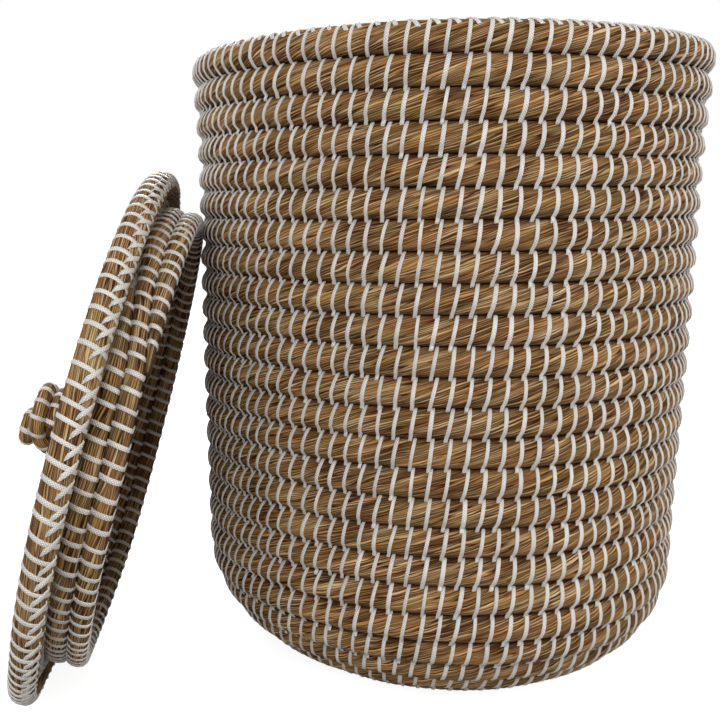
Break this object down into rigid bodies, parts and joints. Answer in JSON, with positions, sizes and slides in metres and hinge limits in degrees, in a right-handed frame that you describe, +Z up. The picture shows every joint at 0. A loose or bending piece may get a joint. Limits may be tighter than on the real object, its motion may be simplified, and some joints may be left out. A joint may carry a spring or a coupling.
{
  "type": "lidded storage basket",
  "caption": "Tall round coiled-grass basket lashed with pale strip, its domed lid with a coiled knob off and leaning against its side.",
  "frame": {"origin": "middle of the basket's base, on the floor", "axes": "+Z up, -Y towards the viewer, the lid leans on the -X side"},
  "size_m": [0.5108, 0.4736, 0.4741],
  "materials": {
    "base_grass": "dry grass bundle, matte",
    "wall_grass": "dry grass bundle, matte",
    "lid_grass": "dry grass bundle, matte"
  },
  "bodies": {
    "basket": {"base_start": "base_grass", "base_coil": "base_grass", "wall_coil": "wall_grass", "rim_coil": "wall_grass"},
    "lid": {"lid_flange_coil": "lid_grass", "lid_top_coil": "lid_grass", "lid_skirt_coil": "lid_grass", "knob_coil": "lid_grass", "knob_start": "lid_grass"}
  },
  "joints": [
    {"name": "lid_tip", "type": "hinge", "parent": "basket", "child": "lid", "pos_m": [-0.29823, -0.08927, 0.0096], "axis": [0.0799, -0.9968, 0], "range_deg": [0, 87]}
  ]
}
